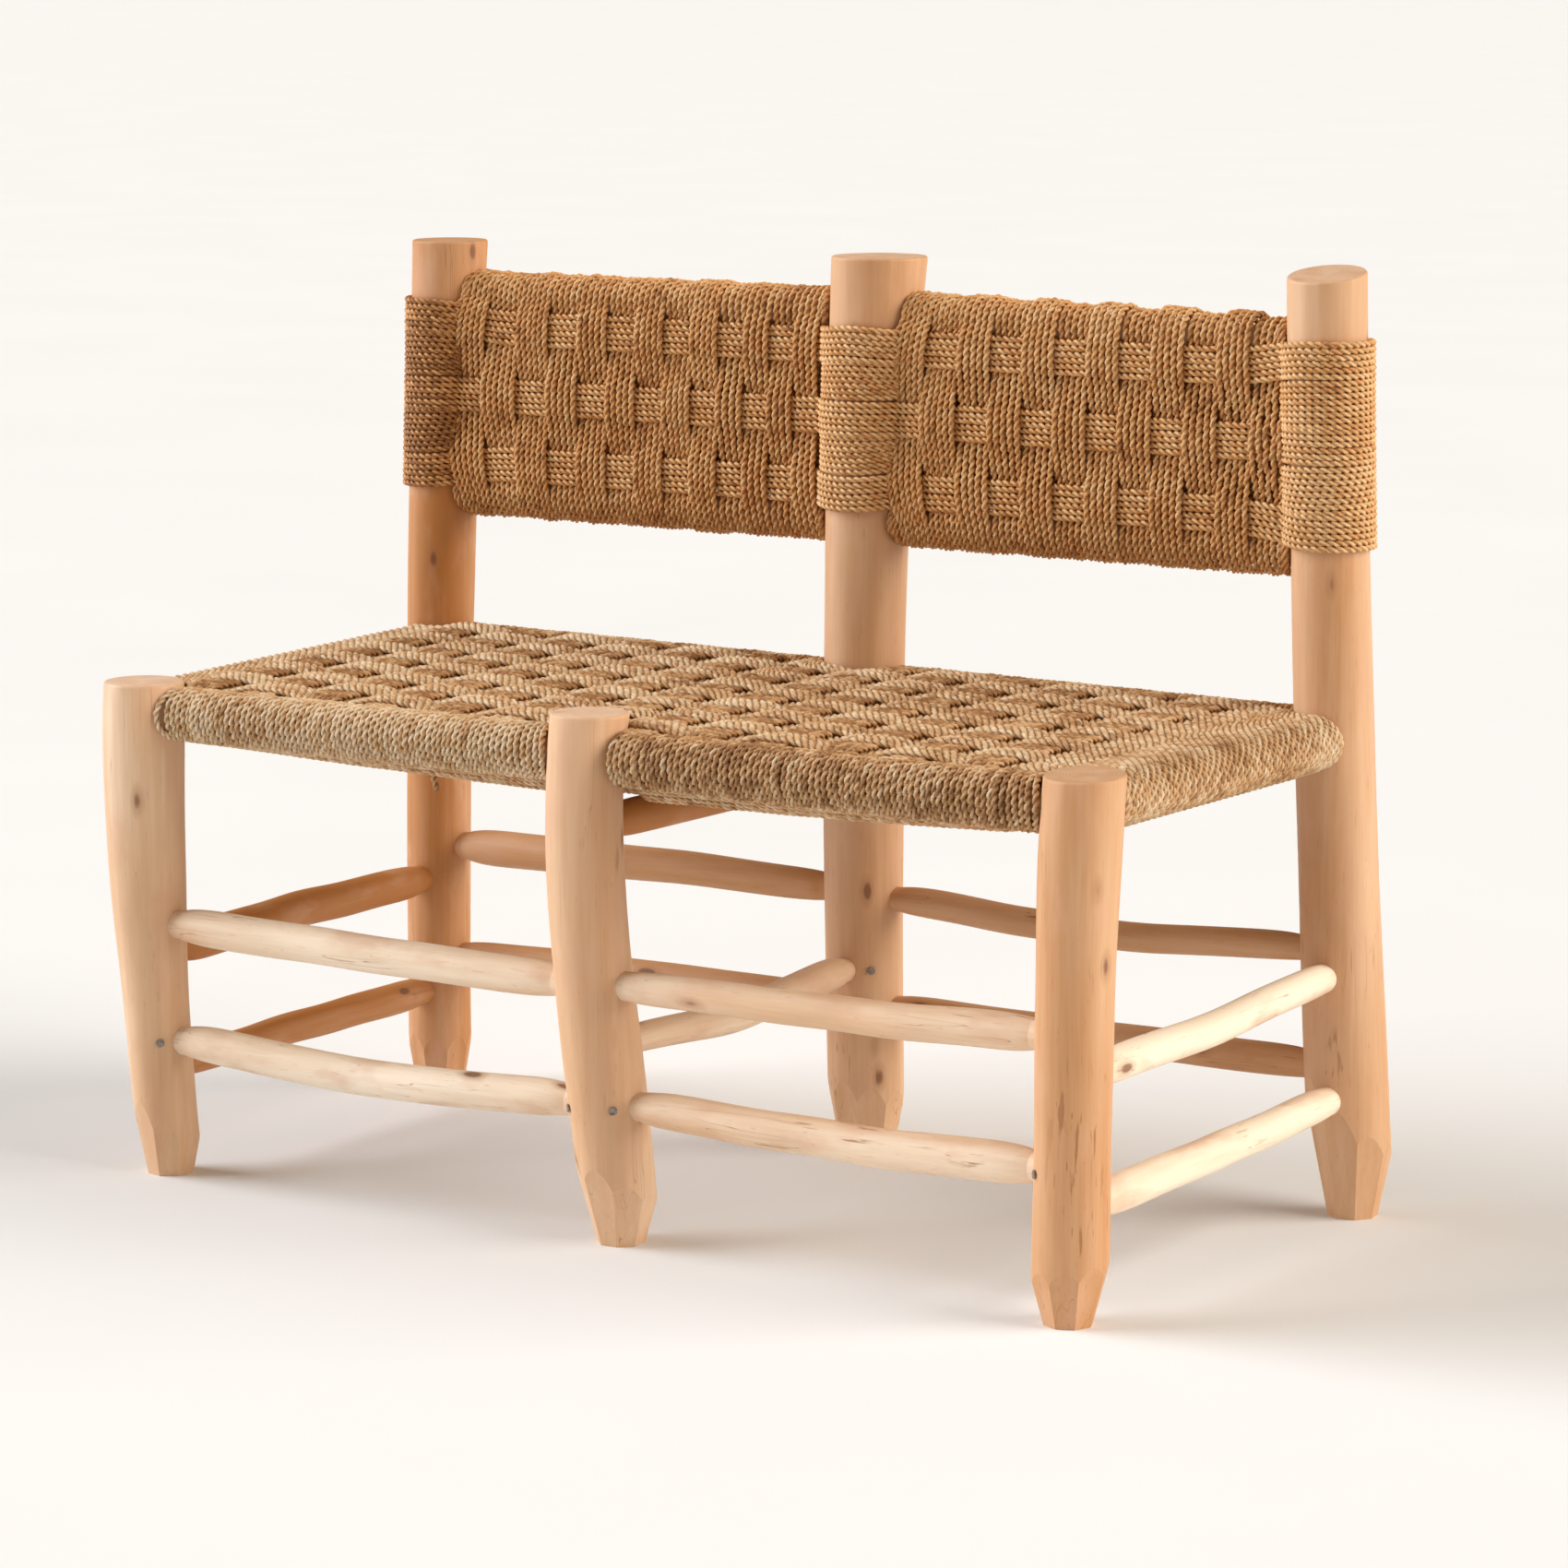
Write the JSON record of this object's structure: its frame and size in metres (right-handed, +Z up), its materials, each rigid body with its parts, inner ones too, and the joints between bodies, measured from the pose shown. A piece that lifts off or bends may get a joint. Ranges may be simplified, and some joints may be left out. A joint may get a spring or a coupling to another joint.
{
  "type": "woven bench",
  "caption": "Rustic bench of peeled round poles with whittled feet, tenoned stretchers, a rope-woven seat and a low rope-woven back in side-by-side panels.",
  "frame": {"origin": "on the floor under the middle of the bench's bounding box", "axes": "+X to the right along the bench seen from the front, +Y to the back, +Z up"},
  "size_m": [1.0177, 0.517, 0.8025],
  "materials": {
    "pole_wood": "peeled, unvarnished, matt",
    "stick_wood": "peeled, unvarnished, matt",
    "seat_rope": "twisted palm fibre",
    "back_rope": "twisted palm fibre",
    "nail_steel": "dull grey"
  },
  "bodies": {
    "root": {"back_bottom_rail_left": "stick_wood", "back_bottom_rail_right": "stick_wood", "back_top_rail_left": "stick_wood", "back_top_rail_right": "stick_wood", "back_weave_left": "back_rope", "back_weave_right": "back_rope", "front_left_leg": "pole_wood", "front_middle_leg": "pole_wood", "front_right_leg": "pole_wood", "front_seat_rail_left": "stick_wood", "front_seat_rail_right": "stick_wood", "front_stretcher_lower_left": "stick_wood", "front_stretcher_lower_right": "stick_wood", "front_stretcher_upper_left": "stick_wood", "front_stretcher_upper_right": "stick_wood", "left_seat_rail": "stick_wood", "middle_seat_rail": "stick_wood", "middle_stretcher": "stick_wood", "rear_left_post": "pole_wood", "rear_left_post_winding": "back_rope", "rear_middle_post": "pole_wood", "rear_middle_post_winding": "back_rope", "rear_right_post": "pole_wood", "rear_right_post_winding": "back_rope", "rear_seat_rail_left": "stick_wood", "rear_seat_rail_right": "stick_wood", "rear_stretcher_lower_left": "stick_wood", "rear_stretcher_lower_right": "stick_wood", "rear_stretcher_upper_left": "stick_wood", "rear_stretcher_upper_right": "stick_wood", "right_seat_rail": "stick_wood", "seat_weave": "seat_rope", "side_stretcher_lower_left": "stick_wood", "side_stretcher_lower_right": "stick_wood", "side_stretcher_upper_left": "stick_wood", "side_stretcher_upper_right": "stick_wood", "tenon_nails": "nail_steel"}
  },
  "joints": []
}
